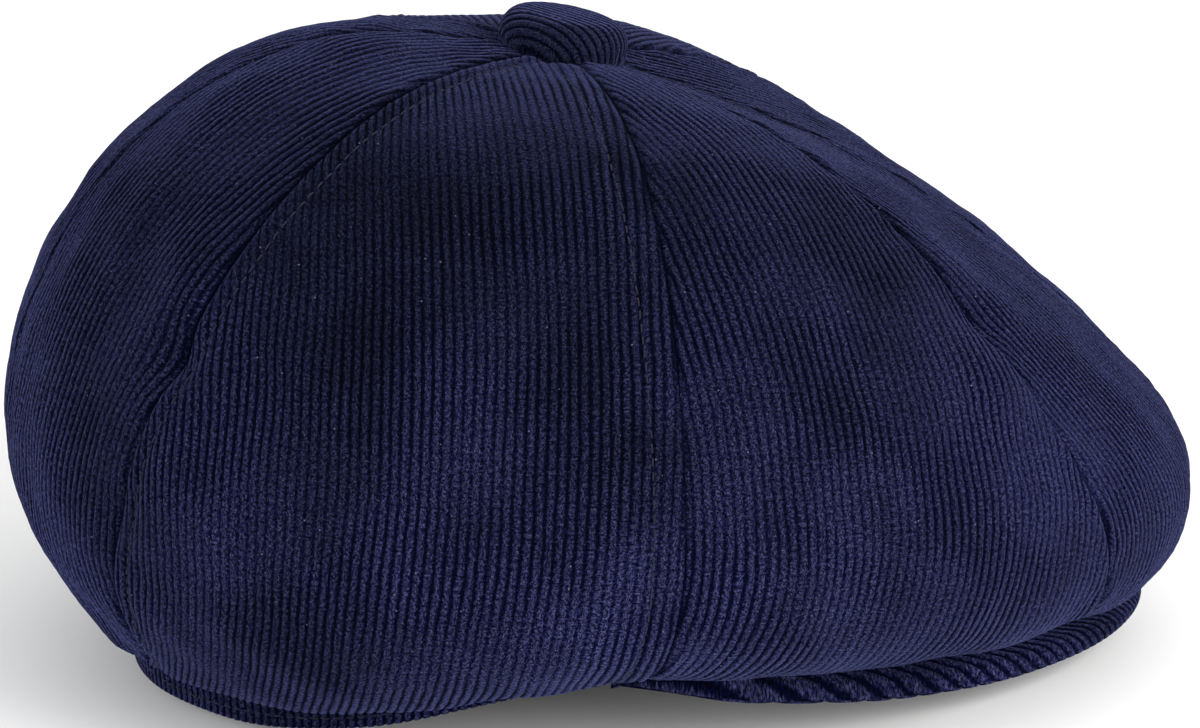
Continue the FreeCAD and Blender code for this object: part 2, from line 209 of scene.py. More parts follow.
def face_along(points, triangles, directions):
    """Turns all the triangles over if they look against the directions given for the points."""
    return triangles if looks_along(points, triangles, directions) else triangles[:, ::-1]


def grid_piece(name, grid, directions, body, material, pile=None, cloth=None):
    """A piece from a full grid of points, facing along the directions."""
    rows, columns = grid.shape[:2]
    ids = np.arange(rows * columns).reshape(rows, columns)
    points = grid.reshape(-1, 3)
    triangles = face_along(points, grid_triangles(ids), directions.reshape(-1, 3))
    flat_pile = None if pile is None else pile.reshape(-1)
    flat_cloth = None if cloth is None else cloth.reshape(-1, 2)
    return new_piece(name, points, triangles, body, material, flat_pile, flat_cloth)


def grid_normals(grid):
    """Unit normals of a grid of points, from the differences between neighbours."""
    along = np.gradient(grid, axis=1)
    down = np.gradient(grid, axis=0)
    normals = np.cross(along, down)
    return normals / np.maximum(np.linalg.norm(normals, axis=2, keepdims=True), 1e-9)


def travelled(path):
    """Distance from the start of a path to each of its points."""
    return np.concatenate([[0], np.cumsum(np.linalg.norm(np.diff(path, axis=0), axis=1))])


def smooth_step(values):
    """An even rise from 0 at 0 to 1 at 1, level at both ends."""
    values = np.clip(values, 0, 1)
    return values * values * (3 - 2 * values)


def bump(distance, width):
    """A rounded hump, 1 at no distance."""
    return np.exp(-(distance / width) ** 2)


NOISE_WAVES = 9


def soft_noise(points, wavelength, seed):
    """Smooth, repeatable unevenness between about -1 and 1: waves in scattered directions."""
    random = np.random.default_rng(seed)
    total = np.zeros(points.shape[:-1])
    for _ in range(NOISE_WAVES):
        direction = random.normal(size=3)
        direction *= 2 * math.pi / (wavelength * random.uniform(0.7, 1.5) * np.linalg.norm(direction))
        total += np.sin(points @ direction + random.uniform(0, 2 * math.pi))
    return total / math.sqrt(NOISE_WAVES)


def wale_height(across):
    """Height of the rib at a distance across the wales, from 0 in a groove to 1 on a crest."""
    groove = 0.5 - 0.5 * np.cos(2 * math.pi * across / WALE)
    return 1 - groove ** GROOVE_SHARPNESS


# ---- shape of the crown


def saddle_height(front, side, back, angle):
    """Height round the cap: it falls evenly to the front, and quickly behind the raised side."""
    turn = np.cos(angle)
    to_front = side + (front - side) * turn * turn
    to_back = back + (side - back) * np.exp(-(turn / SIDE_BLEND) ** 2)
    return np.where(turn > 0, to_front, to_back)


class RingSurface:
    """The smooth surface through a stack of rings, as the CAD's crown and lining have it."""

    def __init__(self, rings):
        self.rings = np.array(rings, float)
        last = len(rings) - 1
        self.saddle = np.clip((np.arange(last + 1) / last - SADDLE_START) / SADDLE_SPREAD, 0, 1)
        inner_knots = np.linspace(0, 1, last + 2 - DEGREE)
        self.knots = np.concatenate([np.zeros(DEGREE), inner_knots, np.ones(DEGREE)])

    def weights(self, down):
        """The B-spline weight of each ring at each share of the way down."""
        down = np.clip(down, 0, 1 - 1e-9)
        knots = self.knots
        basis = [((a <= down) & (down < b)).astype(float) for a, b in zip(knots[:-1], knots[1:])]
        for degree in range(1, DEGREE + 1):
            spans = knots[degree:] - knots[:-degree]
            risen = [(down - knot) / span if span > 0 else 0 * down for knot, span in zip(knots, spans)]
            basis = [risen[number] * basis[number] + (1 - risen[number + 1]) * basis[number + 1]
                     for number in range(len(basis) - 1)]
        return np.stack(basis, axis=-1)

    def points(self, angle, down):
        """Points at angles, in radians, and shares of the way down."""
        angle, down = np.broadcast_arrays(angle, down)
        weights = self.weights(down)
        turn = np.cos(angle)
        half_width, front_reach, back_reach, front, side, back = self.rings.T
        reach = np.where(turn > 0, weights @ front_reach, weights @ back_reach)
        square = (turn * turn)[..., None]
        end = np.where((turn > 0)[..., None], front, back)
        even = side + (end - side) * square
        saddle = saddle_height(front, side, back, angle[..., None])
        height = ((even + (saddle - even) * self.saddle) * weights).sum(-1)
        return np.stack([-np.sin(angle) * (weights @ half_width), -turn * reach, height], axis=-1)

    def normals(self, angle, down):
        """Unit normals that point out of the cap."""
        step = 2e-3
        below, above = np.clip(down + step, 0, 1), np.clip(down - step, 0, 1)
        along_down = self.points(angle, below) - self.points(angle, above)
        along_turn = self.points(angle + step, down) - self.points(angle - step, down)
        normals = np.cross(along_turn, along_down)
        return normals / np.linalg.norm(normals, axis=-1, keepdims=True)

    def even_rows(self, spacing):
        """Shares of the way down that are evenly spaced along the cloth."""
        dense = np.linspace(0, 1, 600)
        angles = (0.0, math.pi / 2, math.pi)
        lengths = sum(travelled(self.points(angle, dense)) for angle in angles) / len(angles)
        count = int(lengths[-1] / spacing)
        return np.interp(np.linspace(0, lengths[-1], count), lengths, dense), lengths[-1] / (count - 1)


crown_surface = RingSurface(CROWN_RINGS)
lining_surface = RingSurface(LINING_RINGS)


def seam_angle(seam, down):
    """Angle of a seam, in radians, at shares of the way down."""
    top, bottom = SEAM_ANGLES[seam]
    return np.radians(top + (bottom - top) * down)


# ---- materials


class Nodes:
    """A material and short calls that add nodes to it."""

    def __init__(self, name):
        self.material = bpy.data.materials.new(name)
        self.material.use_nodes = True
        self.tree = self.material.node_tree
        self.shader = self.tree.nodes["Principled BSDF"]
        self.place = self.add("TexCoord").outputs["Object"]

    def add(self, kind, settings=None, **inputs):
        node = self.tree.nodes.new("ShaderNode" + kind)
        for key, value in (settings or {}).items():
            setattr(node, key, value)
        for key, value in inputs.items():
            self.set(node.inputs[key.replace("_", " ")], value)
        return node

    def set(self, socket, value):
        if isinstance(value, bpy.types.NodeSocket):
            self.tree.links.new(value, socket)
        else:
            socket.default_value = value

    def mapped(self, source, scale):
        """Coordinates stretched by a scale along each axis."""
        node = self.add("Mapping", Vector=source)
        node.inputs["Scale"].default_value = scale
        return node.outputs["Vector"]

    def noise(self, vector, scale, detail=2.0, roughness=0.5):
        node = self.add("TexNoise", Vector=vector, Scale=scale, Detail=detail, Roughness=roughness)
        return node.outputs["Fac"]

    def math(self, operation, first, second=0.0):
        node = self.add("Math", {"operation": operation})
        self.set(node.inputs[0], first)
        self.set(node.inputs[1], second)
        return node.outputs[0]

    def spread(self, value, low, high, to_low, to_high):
        """A value carried from one range to another, and held inside it."""
        node = self.add("MapRange", Value=value, From_Min=low, From_Max=high,
                        To_Min=to_low, To_Max=to_high)
        return node.outputs["Result"]

    def bands(self, direction, scale, distortion):
        """Bands across the object, wavy by the distortion."""
        node = self.add("TexWave", {"wave_type": "BANDS", "bands_direction": direction},
                        Vector=self.place, Scale=scale, Distortion=distortion)
        return node.outputs["Fac"]

    def ramp(self, factor, *stops):
        """A colour ramp through (place, colour) stops."""
        node = self.add("ValToRGB", Fac=factor)
        elements = node.color_ramp.elements
        while len(elements) < len(stops):
            elements.new(1.0)
        for element, (place, colour) in zip(elements, stops):
            element.position = place
            element.color = (*colour, 1)
        return node.outputs["Color"]

    def mix(self, factor, first, second, blend="MIX"):
        node = self.add("Mix", {"data_type": "RGBA", "blend_type": blend})
        self.set(node.inputs["Factor"], factor)
        for socket, value in ((node.inputs[6], first), (node.inputs[7], second)):
            self.set(socket, value if isinstance(value, bpy.types.NodeSocket) else (*value, 1))
        return node.outputs[2]

    def bump(self, height, distance, strength):
        node = self.add("Bump", Height=height, Distance=distance, Strength=strength)
        return node.outputs["Normal"]

    def finish(self, **sockets):
        for key, value in sockets.items():
            self.set(self.shader.inputs[key.replace("_", " ")], value)
        return self.material


def corduroy_material():
    """Navy cotton corduroy: dark grooves, partly painted shade, brushed pile on the wales, worn patches,
    specks of lint, and painted light and shade by height.
    """
    nodes = Nodes("corduroy")
    cloth = nodes.add("UVMap", {"uv_map": "cloth"}).outputs["UV"]
    pile = nodes.add("Attribute", {"attribute_name": "pile"}).outputs["Fac"]
    tufts = nodes.noise(nodes.mapped(cloth, (1500, 1150, 1)), 1.0, 3.0, 0.7)
    fibres = nodes.noise(nodes.mapped(cloth, (2700, 2300, 1)), 1.0, 2.0, 0.7)
    patches = nodes.noise(nodes.place, 20.0, 4.0, 0.6)
    height = nodes.math("ADD", pile, nodes.spread(tufts, 0.32, 0.68, -0.85, 0.35))
    # The ramp paints shade into the grooves. The bare ground weave is darker than the pile, but the
    # colour also sinks with the pile's height, so grooves, seam lines and turned edges with little or no
    # pile carry painted shade.
    groove, slope, crest = (0.0001, 0.0003, 0.0034), (0.0024, 0.0028, 0.0120), (0.0100, 0.0108, 0.0275)
    colour = nodes.ramp(height, (0.10, groove), (0.55, slope), (1.0, crest))
    colour = nodes.mix(1.0, colour, nodes.spread(patches, 0.36, 0.64, 0.62, 1.40), "MULTIPLY")
    colour = nodes.mix(1.0, colour, nodes.spread(fibres, 0.38, 0.64, 0.05, 2.6), "MULTIPLY")
    # Painted light and shade by height: the colour is doubled at the floor, brightening the band and
    # peak, and cut to three quarters from 12 cm up, darkening the top of the crown.
    level = nodes.add("SeparateXYZ", Vector=nodes.place).outputs["Z"]
    colour = nodes.mix(1.0, colour, nodes.spread(level, 0.0, 0.12, 2.0, 0.74), "MULTIPLY")
    lint_spots = nodes.add("TexVoronoi", {"feature": "F1"}, Vector=nodes.place, Scale=360.0)
    lint_field = nodes.noise(nodes.place, 150.0, 2.0)
    lint = nodes.math("MULTIPLY", nodes.math("LESS_THAN", lint_spots.outputs["Distance"], 0.075),
                      nodes.math("GREATER_THAN", lint_field, 0.57))
    colour = nodes.mix(lint, colour, (0.070, 0.070, 0.105))
    surface = nodes.math("ADD", nodes.math("MULTIPLY", tufts, 0.6), nodes.math("MULTIPLY", fibres, 0.4))
    return nodes.finish(
        Base_Color=colour, Roughness=0.95, Normal=nodes.bump(surface, 0.0006, 1.0),
        Specular_IOR_Level=0.03, Sheen_Weight=nodes.spread(height, 0.0, 1.1, 0.02, 0.38),
        Sheen_Roughness=0.25, Sheen_Tint=(0.29, 0.34, 0.90, 1))


def thread_material():
    """Navy sewing thread with its twist."""
    nodes = Nodes("topstitch_thread")
    twist = nodes.bands("DIAGONAL", 2600.0, 1.5)
    colour = nodes.mix(twist, (0.0030, 0.0032, 0.0120), (0.0120, 0.0130, 0.0340))
    return nodes.finish(Base_Color=colour, Roughness=0.8, Specular_IOR_Level=0.15, Sheen_Weight=0.06,
                        Normal=nodes.bump(twist, 0.00008, 0.8))


def lining_material():
    """Dark blue satin lining: a fine slanting weave with soft patches of gloss."""
    nodes = Nodes("lining")
    weave = nodes.bands("DIAGONAL", 900.0, 0.6)
    broad = nodes.noise(nodes.place, 30.0, 3.0)
    colour = nodes.mix(broad, (0.006, 0.007, 0.020), (0.016, 0.018, 0.048))
    return nodes.finish(Base_Color=colour, Roughness=nodes.spread(broad, 0.3, 0.7, 0.44, 0.56),
                        Specular_IOR_Level=0.3, Sheen_Weight=0.10,
                        Normal=nodes.bump(weave, 0.00006, 0.5))


def woven_material(name, dark, light, rib_scale, roughness=0.85):
    """A plain woven tape or canvas: crossing threads with uneven colour."""
    nodes = Nodes(name)
    level = nodes.bands("Z", rib_scale, 0.8)
    slanting = nodes.bands("DIAGONAL", rib_scale * 1.7, 0.8)
    crossing = nodes.math("MULTIPLY", level, slanting)
    stain = nodes.noise(nodes.place, 60.0, 4.0)
    shade = nodes.math("ADD", nodes.math("MULTIPLY", crossing, 0.6), nodes.math("MULTIPLY", stain, 0.4))
    return nodes.finish(Base_Color=nodes.mix(shade, dark, light), Roughness=roughness, Sheen_Weight=0.25,
                        Normal=nodes.bump(crossing, 0.00012, 0.7))


def metal_material(name, colour, roughness):
    """Pressed sheet metal with fine rolling marks and handled patches."""
    nodes = Nodes(name)
    marks = nodes.noise(nodes.mapped(nodes.place, (4000, 400, 400)), 1.0, 3.0)
    patches = nodes.noise(nodes.place, 300.0, 3.0)
    dull = tuple(channel * 0.72 for channel in colour)
    return nodes.finish(Base_Color=nodes.mix(patches, dull, colour), Metallic=1.0,
                        Roughness=nodes.spread(marks, 0.2, 0.8, roughness * 0.8, roughness * 1.3),
                        Normal=nodes.bump(marks, 0.00002, 0.4))


def board_material():
    """The peak's milky polyethylene board, with a leathery moulded grain."""
    nodes = Nodes("peak_board")
    grain = nodes.noise(nodes.place, 900.0, 3.0)
    clouds = nodes.noise(nodes.place, 40.0, 2.0)
    colour = nodes.mix(clouds, (0.62, 0.62, 0.58), (0.80, 0.80, 0.76))
    return nodes.finish(Base_Color=colour, Roughness=0.45, Normal=nodes.bump(grain, 0.0001, 0.5))


corduroy = corduroy_material()
thread = thread_material()
satin = lining_material()
sweatband_cloth = woven_material("sweatband", (0.004, 0.0045, 0.012), (0.020, 0.022, 0.045), 520.0)
canvas = woven_material("interlining", (0.42, 0.40, 0.35), (0.62, 0.60, 0.54), 260.0, 0.95)
label_cloth = woven_material("label", (0.52, 0.51, 0.47), (0.78, 0.77, 0.72), 700.0, 0.7)
aluminium = metal_material("button_metal", (0.72, 0.72, 0.73), 0.35)
black_brass = metal_material("snap_metal", (0.16, 0.15, 0.14), 0.38)
board = board_material()

# ---- crown

GRAIN_SETTLED = 0.8  # share of the way down where a gore's wales take their lower direction
GORE_SAMPLES = 161  # points across a gore that its width is measured from
FOLD_IN = 2.2  # how far a turned edge of cloth runs inwards
STITCHED_SEAMS = {"side_back": {"first": 7.0, "last": 5.5}}  # topstitching, off each edge of a gore
crown_rows, crown_row_step = crown_surface.even_rows(ROW_STEP)


class Gore:
    """One gore of cloth laid on a ring surface, with columns of points that follow its wales."""

    def __init__(self, surface, gore, sign, rows, step, overlap=0.0):
        first_seam, last_seam, grain = GORES[gore]
        self.rows = rows
        down = rows[:, None]
        first, last = seam_angle(first_seam, down) - overlap, seam_angle(last_seam, down) + overlap
        share = np.linspace(0, 1, GORE_SAMPLES)[None, :]
        dense = surface.points(sign * (first + (last - first) * share), down)
        around = np.array([travelled(line) for line in dense])
        middle = around[:, -1:] * (grain[0] + (grain[1] - grain[0]) * smooth_step(down / GRAIN_SETTLED))
        self.left, self.right = -middle, around[:, -1:] - middle
        first_column = math.floor(self.left.min() / step)
        last_column = math.ceil(self.right.max() / step)
        columns = np.arange(first_column, last_column + 1) * step
        self.across = np.clip(columns[None, :], self.left, self.right)
        shares = [np.interp(line + offset, lengths, share[0])
                  for line, offset, lengths in zip(self.across, middle[:, 0], around)]
        angles = sign * (first + (last - first) * np.array(shares))
        self.down = np.broadcast_to(down, angles.shape)
        self.base = surface.points(angles, self.down)
        self.normals = surface.normals(angles, self.down)
        low = np.maximum((columns[None, :] <= self.left).sum(1) - 1, 0)
        high = len(columns) - np.maximum((columns[None, :] >= self.right).sum(1), 1)
        numbers = np.clip(np.arange(len(columns))[None, :], low[:, None], high[:, None])
        self.ids = numbers + np.arange(len(rows))[:, None] * len(columns)
        self.to_left = self.across - self.left
        self.to_right = self.right - self.across
        self.to_seam = {first_seam: self.to_left, last_seam: self.to_right}

    def piece(self, name, points, pile, part, fold_foot, body):
        """The gore's corduroy between two rows, with its edges turned inwards."""
        part_rows = slice(*part)
        ids = self.ids[part_rows] - part[0] * points.shape[1]
        grid = points[part_rows].reshape(-1, 3)
        normals = self.normals[part_rows].reshape(-1, 3)
        edges = np.concatenate([ids[:, 0], ids[:, -1], ids[-1] if fold_foot else []]).astype(int)
        folds = len(grid) + np.arange(len(edges))
        left, right, foot = np.split(folds, [len(ids), 2 * len(ids)])
        full = np.concatenate([left[:, None], ids, right[:, None]], axis=1)
        if fold_foot:
            full = np.vstack([full, np.concatenate([left[-1:], foot, right[-1:]])])
        triangles = grid_triangles(full)
        unfolded = triangles[(triangles < len(grid)).all(axis=1)]
        if not looks_along(grid, unfolded, normals):
            triangles = triangles[:, ::-1]
        every = np.concatenate([grid, grid[edges] - normals[edges] * FOLD_IN])
        # The turned edges get no pile, so they take the darkest groove colour, which is painted shade.
        heights = np.concatenate([pile[part_rows].reshape(-1), np.zeros(len(edges))])
        along = np.broadcast_to(np.arange(len(self.rows))[:, None] * crown_row_step, self.across.shape)
        cloth = np.stack([self.across[part_rows], along[part_rows]], -1).reshape(-1, 2)
        cloth = np.concatenate([cloth, cloth[edges]])
        return new_piece(name, every, triangles, body, corduroy, heights, cloth)


# Where the cloth is drawn up on a seam: the seam, the share of the way down, the depth of the
# dip, its length along the seam and its reach to either side.
PUCKERS = (
    ("back", 0.35, 3.4, 5.5, 6),
    ("back", 0.53, 1.6, 7, 9),
    ("front", 0.25, 2, 7, 7),
    ("front", 0.84, 1.1, 6, 8),
    ("back", 0.86, 1.4, 5, 9),
    ("side", 0.86, 1, 5, 7),
)
# Where a gore swells beside a seam: the gore, the seam, the share of the way down, the height,
# the length along the seam, and the distance and reach from the seam.
SWELLS = (
    ("back", "back", 0.28, 1.9, 14, 8, 8),
    ("side_back", "back", 0.43, 1.8, 12, 10, 8),
    ("front", "front", 0.19, 1.4, 14, 8, 8),
    ("side_front", "front", 0.32, 2, 11, 10, 9),
    ("back", "centre_back", 0.075, 1.3, 13, 8, 9),
    ("side_back", "back", 0.62, -1.3, 9, 30, 24),
    ("side_back", "side", 0.66, 0.9, 16, 26, 12),
    ("side_front", "side", 0.62, 0.9, 16, 22, 12),
)
WALE_DRIFT = 0.75  # how far the wales bend round a dip, as a share of its depth


def gathers(name, gore):
    """The dips and swells of a gore beside its seams, and how far its wales bend round them."""
    relief, drift = np.zeros_like(gore.across), np.zeros_like(gore.across)
    travel = np.arange(len(gore.rows)) * crown_row_step
    for seam, share, depth, length, reach in PUCKERS:
        if seam in gore.to_seam:
            along = (travel - np.interp(share, gore.rows, travel))[:, None]
            to_seam = gore.to_seam[seam]
            toward = 1 if to_seam is gore.to_left else -1
            relief = relief - depth * bump(along, length) * bump(to_seam, reach)
            bend = bump(along, 2 * length) * bump(to_seam, 2 * reach)
            drift = drift + WALE_DRIFT * toward * depth * bend
    for swelling, seam, share, height, length, distance, reach in SWELLS:
        if swelling == name:
            along = (travel - np.interp(share, gore.rows, travel))[:, None]
            relief = relief + height * bump(along, length) * bump(gore.to_seam[seam] - distance, reach)
    return relief, drift


FOOT_HELD = 0.12  # shares of the way down over which the cloth is held flat
BUTTON_HELD = 0.2
PUFF, PUFF_REACH = 0.5, 26  # how far a gore's middle stands above its seams
SEAM_DIP, SEAM_WIDTH = 0.60, 1.0  # the line of a seam
SHOULDER, SHOULDER_WIDTH, SHOULDER_PLACE = 0.12, 2.0, 3.2  # the cloth folded under beside it
STITCH_DIP, STITCH_WIDTH = 0.30, 1.0  # the line that topstitching pulls in
WELT = 2.4  # width of the welt beside the topstitching
WAVE_REACH = 18  # from the seams, where the cloth's slow waves are at their full height
PUCKER_HEIGHT, PUCKER_REACH = 0.28, 8.0  # fine unevenness along the seams
RUB = 0.45  # share of a groove's depth that rubbing fills
STITCH_FLATTENS = 0.45  # share of the pile that a stitch presses flat


def seam_relief(gore, to_seam, stitched):
    """The dip of the seams and the topstitching, and how far the stitches flatten the pile."""
    relief = SHOULDER * bump(to_seam - SHOULDER_PLACE, SHOULDER_WIDTH)
    relief = relief - SEAM_DIP * bump(to_seam, SEAM_WIDTH)
    flattened = np.zeros_like(to_seam)
    for side, distance in stitched.items():
        off_line = (gore.to_left if side == "first" else gore.to_right) - distance
        relief = relief + SHOULDER * bump(off_line + WELT, WELT)
        relief = relief - STITCH_DIP * bump(off_line, STITCH_WIDTH)
        flattened = flattened + bump(off_line, 0.9 * STITCH_WIDTH)
    return relief, flattened


def crown_relief(name, gore, stitched, seed):
    """How far the crown's cloth stands off its plain shape, and how high the pile is."""
    to_seam = np.minimum(gore.to_left, gore.to_right)
    free = smooth_step((1 - gore.down) / FOOT_HELD)
    loose = free * smooth_step(gore.down / BUTTON_HELD)
    gathered, drift = gathers(name, gore)
    seams, flattened = seam_relief(gore, to_seam, stitched)
    waves = 0.5 * soft_noise(gore.base, 58.0, seed) + 0.35 * soft_noise(gore.base, 23.0, seed + 1)
    relief = PUFF * smooth_step(to_seam / PUFF_REACH) * loose + gathered * free + seams
    relief = relief + waves * smooth_step(to_seam / WAVE_REACH) * loose
    pucker = PUCKER_HEIGHT * soft_noise(gore.base, 11.0, seed + 2)
    relief = relief + pucker * bump(to_seam, PUCKER_REACH) * smooth_step(to_seam / 1.5) * free
    wobble = 0.22 * soft_noise(gore.base, 34.0, seed + 3) + 0.10 * soft_noise(gore.base, 8.0, seed + 5)
    pile = wale_height(gore.across + wobble + drift) * smooth_step(to_seam / 0.9 + 0.15)
    rubbed = smooth_step(0.5 + 0.8 * soft_noise(gore.base, 30.0, seed + 6))
    pile = pile + (1 - pile) * RUB * rubbed
    uneven = (1 + 0.16 * soft_noise(gore.base, 4.0, seed + 4)) * (1 - STITCH_FLATTENS * flattened)
    return relief, relief + WALE_DEPTH * (pile * uneven - WALE_MIDDLE), pile


TUCK_ROW = int(np.searchsorted(crown_rows, TUCK_START))
TUCKED_GORES = ("front", "side_front")


def tuck_blend(piece):
    """Fixes the cloth under the crown's front where it lies, on no body."""
    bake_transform(piece)


crown_gores = {}
for number, gore_name in enumerate(GORES):
    for side, sign in SIDES.items():
        gore = Gore(crown_surface, gore_name, sign, crown_rows, WALE / WALE_STEPS)
        stitched = STITCHED_SEAMS.get(gore_name, {})
        seed = 10 * number + (5 if side == "left" else 0)
        plain, relief, pile = crown_relief(gore_name, gore, stitched, seed)
        points = gore.base + gore.normals * relief[..., None]
        gore.path_base = gore.base + gore.normals * plain[..., None]
        crown_gores[gore_name, side] = gore
        rows = len(crown_rows)
        tucked = gore_name in TUCKED_GORES
        last_row = TUCK_ROW + 1 if tucked else rows
        label = "%s_%s" % (gore_name, side)
        panel = gore.piece("crown_" + label, points, pile, (0, last_row), not tucked, "crown")
        if tucked:
            tuck = gore.piece("crown_tuck_" + label, points, pile, (TUCK_ROW, rows), True, None)
            tuck_blend(tuck)
        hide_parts("crown_panel_" + label)

# ---- topstitching

STITCH_PITCH = 3.1
STITCH_LENGTH = 2.3
THREAD_RADIUS = 0.19
THREAD_SIDES = 6
# Along a stitch: share of its length, and height of the thread's middle off the cloth.
STITCH_SHAPE = ((0.0, -0.50), (0.10, 0.02), (0.35, 0.16), (0.65, 0.16), (0.90, 0.02), (1.0, -0.50))
STITCH_WANDER = 0.12  # how far a stitch starts from its even place
STITCH_SKEW = 0.10  # how far its ends lie to the sides
STITCH_AHEAD = 0.5  # the step along the path that gives its direction


def stitches(name, path, normals, body):
    """A row of separate stitches along a path on the cloth."""
    lengths = travelled(path)

    def along(line, place):
        return np.array([np.interp(place, lengths, line[:, axis]) for axis in range(3)])

    random = np.random.default_rng(len(path))
    ring = np.linspace(0, 2 * math.pi, THREAD_SIDES, endpoint=False)
    points, triangles = [], []
    starts = np.arange(STITCH_PITCH / 2, lengths[-1] - STITCH_PITCH, STITCH_PITCH)
    for start in starts:
        start += random.uniform(-STITCH_WANDER, STITCH_WANDER)
        length = STITCH_LENGTH * random.uniform(0.9, 1.08)
        skew = random.uniform(-STITCH_SKEW, STITCH_SKEW)
        first = len(points) * THREAD_SIDES
        for share, lift in STITCH_SHAPE:
            at = start + share * length
            middle, up = along(path, at), along(normals, at)
            up /= np.linalg.norm(up)
            ahead = along(path, at + STITCH_AHEAD) - middle
            ahead -= up * (ahead @ up)
            ahead /= max(np.linalg.norm(ahead), 1e-9)
            beside = np.cross(up, ahead)
            centre = middle + up * lift + beside * skew * (share - 0.5) * 2
            slope = up if 0 < share < 1 else ahead * (1 if share == 0 else -1)
            section = np.cos(ring)[:, None] * beside + np.sin(ring)[:, None] * slope
            points.append(centre + THREAD_RADIUS * section)
        for level in range(len(STITCH_SHAPE) - 1):
            for corner in range(THREAD_SIDES):
                a = first + level * THREAD_SIDES + corner
                b = first + level * THREAD_SIDES + (corner + 1) % THREAD_SIDES
                triangles += [(a, b, b + THREAD_SIDES), (a, b + THREAD_SIDES, a + THREAD_SIDES)]
    return new_piece(name, np.concatenate(points), np.array(triangles), body, thread)


def edge_path(gore, side, distance, first_row, last_row):
    """The line at a distance from one edge of a gore, with the cloth's normals along it."""
    path, normals = [], []
    for row in range(first_row, last_row):
        at = (gore.left[row, 0] + distance) if side == "first" else (gore.right[row, 0] - distance)
        across = gore.across[row]
        path.append([np.interp(at, across, gore.path_base[row, :, axis]) for axis in range(3)])
        normals.append([np.interp(at, across, gore.normals[row, :, axis]) for axis in range(3)])
    return np.array(path), np.array(normals)


STITCHES_END = 8  # rows of the crown that the topstitching stops short of the band
STITCHES_START = 3.2  # width of the gore there, in distances of the stitches from its edge

for gore_name, edges in STITCHED_SEAMS.items():
    for side in SIDES:
        gore = crown_gores[gore_name, side]
        for edge, distance in edges.items():
            width = (gore.right - gore.left)[:, 0]
            first_row = int(np.argmax(width > STITCHES_START * distance))
            seam = GORES[gore_name][0 if edge == "first" else 1]
            path, normals = edge_path(gore, edge, distance, first_row, len(crown_rows) - STITCHES_END)
            stitches("topstitch_%s_seam_%s" % (seam, side), path, normals, "crown")

# ---- lining

LINING_ROW_STEP = 3.5
LINING_COLUMN_STEP = 3.0
LINING_CLOTH = 0.5
LINING_OVERLAP = math.radians(0.3)  # past the seam at each side of a gore
LINING_SAG = 0.9  # how far the loose lining hangs in from its plain shape
LINING_SEAM_DIP = 0.5
LINING_INSET = 0.1
lining_rows = lining_surface.even_rows(LINING_ROW_STEP)[0]


def thicken(piece, thickness):
    """Gives a sheet a real thickness, inwards, with closed edges."""
    solidify = piece.modifiers.new("thickness", "SOLIDIFY")
    solidify.thickness = thickness * MM
    solidify.offset = -1


for number, gore_name in enumerate(GORES):
    for side, sign in SIDES.items():
        gore = Gore(lining_surface, gore_name, sign, lining_rows, LINING_COLUMN_STEP, LINING_OVERLAP)
        to_seam = np.minimum(gore.to_left, gore.to_right)
        relief = -LINING_SAG * soft_noise(gore.base, 38.0, 70 + number) * smooth_step(to_seam / 12)
        relief = relief - LINING_SEAM_DIP * bump(to_seam, 2.5)
        relief = relief * smooth_step((1 - gore.down) / 0.15) - LINING_INSET
        points = gore.base + gore.normals * relief[..., None]
        body = None if gore_name in TUCKED_GORES else "crown"
        name = "lining_%s_%s" % (gore_name, side)
        points, normals = points.reshape(-1, 3), gore.normals.reshape(-1, 3)
        triangles = face_along(points, grid_triangles(gore.ids), normals)
        piece = new_piece(name, points, triangles, body, satin)
        thicken(piece, LINING_CLOTH)
        if body is None:
            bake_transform(piece)
        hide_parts("lining_panel_%s_%s" % (gore_name, side))

# ---- band and sweatband

BAND_SPANS = {"front": (-BAND_SPLIT, BAND_SPLIT), "back": (BAND_SPLIT, 360 - BAND_SPLIT)}
BAND_SAMPLES = 2000  # points along a band that its length is measured from
BAND_UNEVENNESS = 0.25
BAND_WALES = 0.8  # how deep the band's wales are beside the crown's
SWEATBAND_STEP = 1.6  # columns of the sweatband's mesh
SWEATBAND_FOOT = 1.4  # height of its lower edge above the hem
STITCH_ROW_GAP = 1  # degrees between the rows of stitches and the ends of the band


def hem_height(angle):
    """Height of the band's lower edge, at an angle from the front in radians."""
    return saddle_height(HEM_FRONT, HEM_SIDE, HEM_BACK, angle)


def band_points(angle, rise, depth):
    """Points of the band: radians from the front, height above the hem and depth inwards."""
    flare = BAND_FLARE * rise / BAND_HEIGHT
    across = -(HEM_HALF_WIDTH + flare - depth) * np.sin(angle)
    along = -(HEM_HALF_LENGTH + flare - depth) * np.cos(angle)
    return np.stack(np.broadcast_arrays(across, along, hem_height(angle) + rise), axis=-1)


def carry_band(piece, end):
    """The back of the band rides on the crown; the front stays where it lies, on no body."""
    if end == "back":
        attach(piece, "crown")
    else:
        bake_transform(piece)


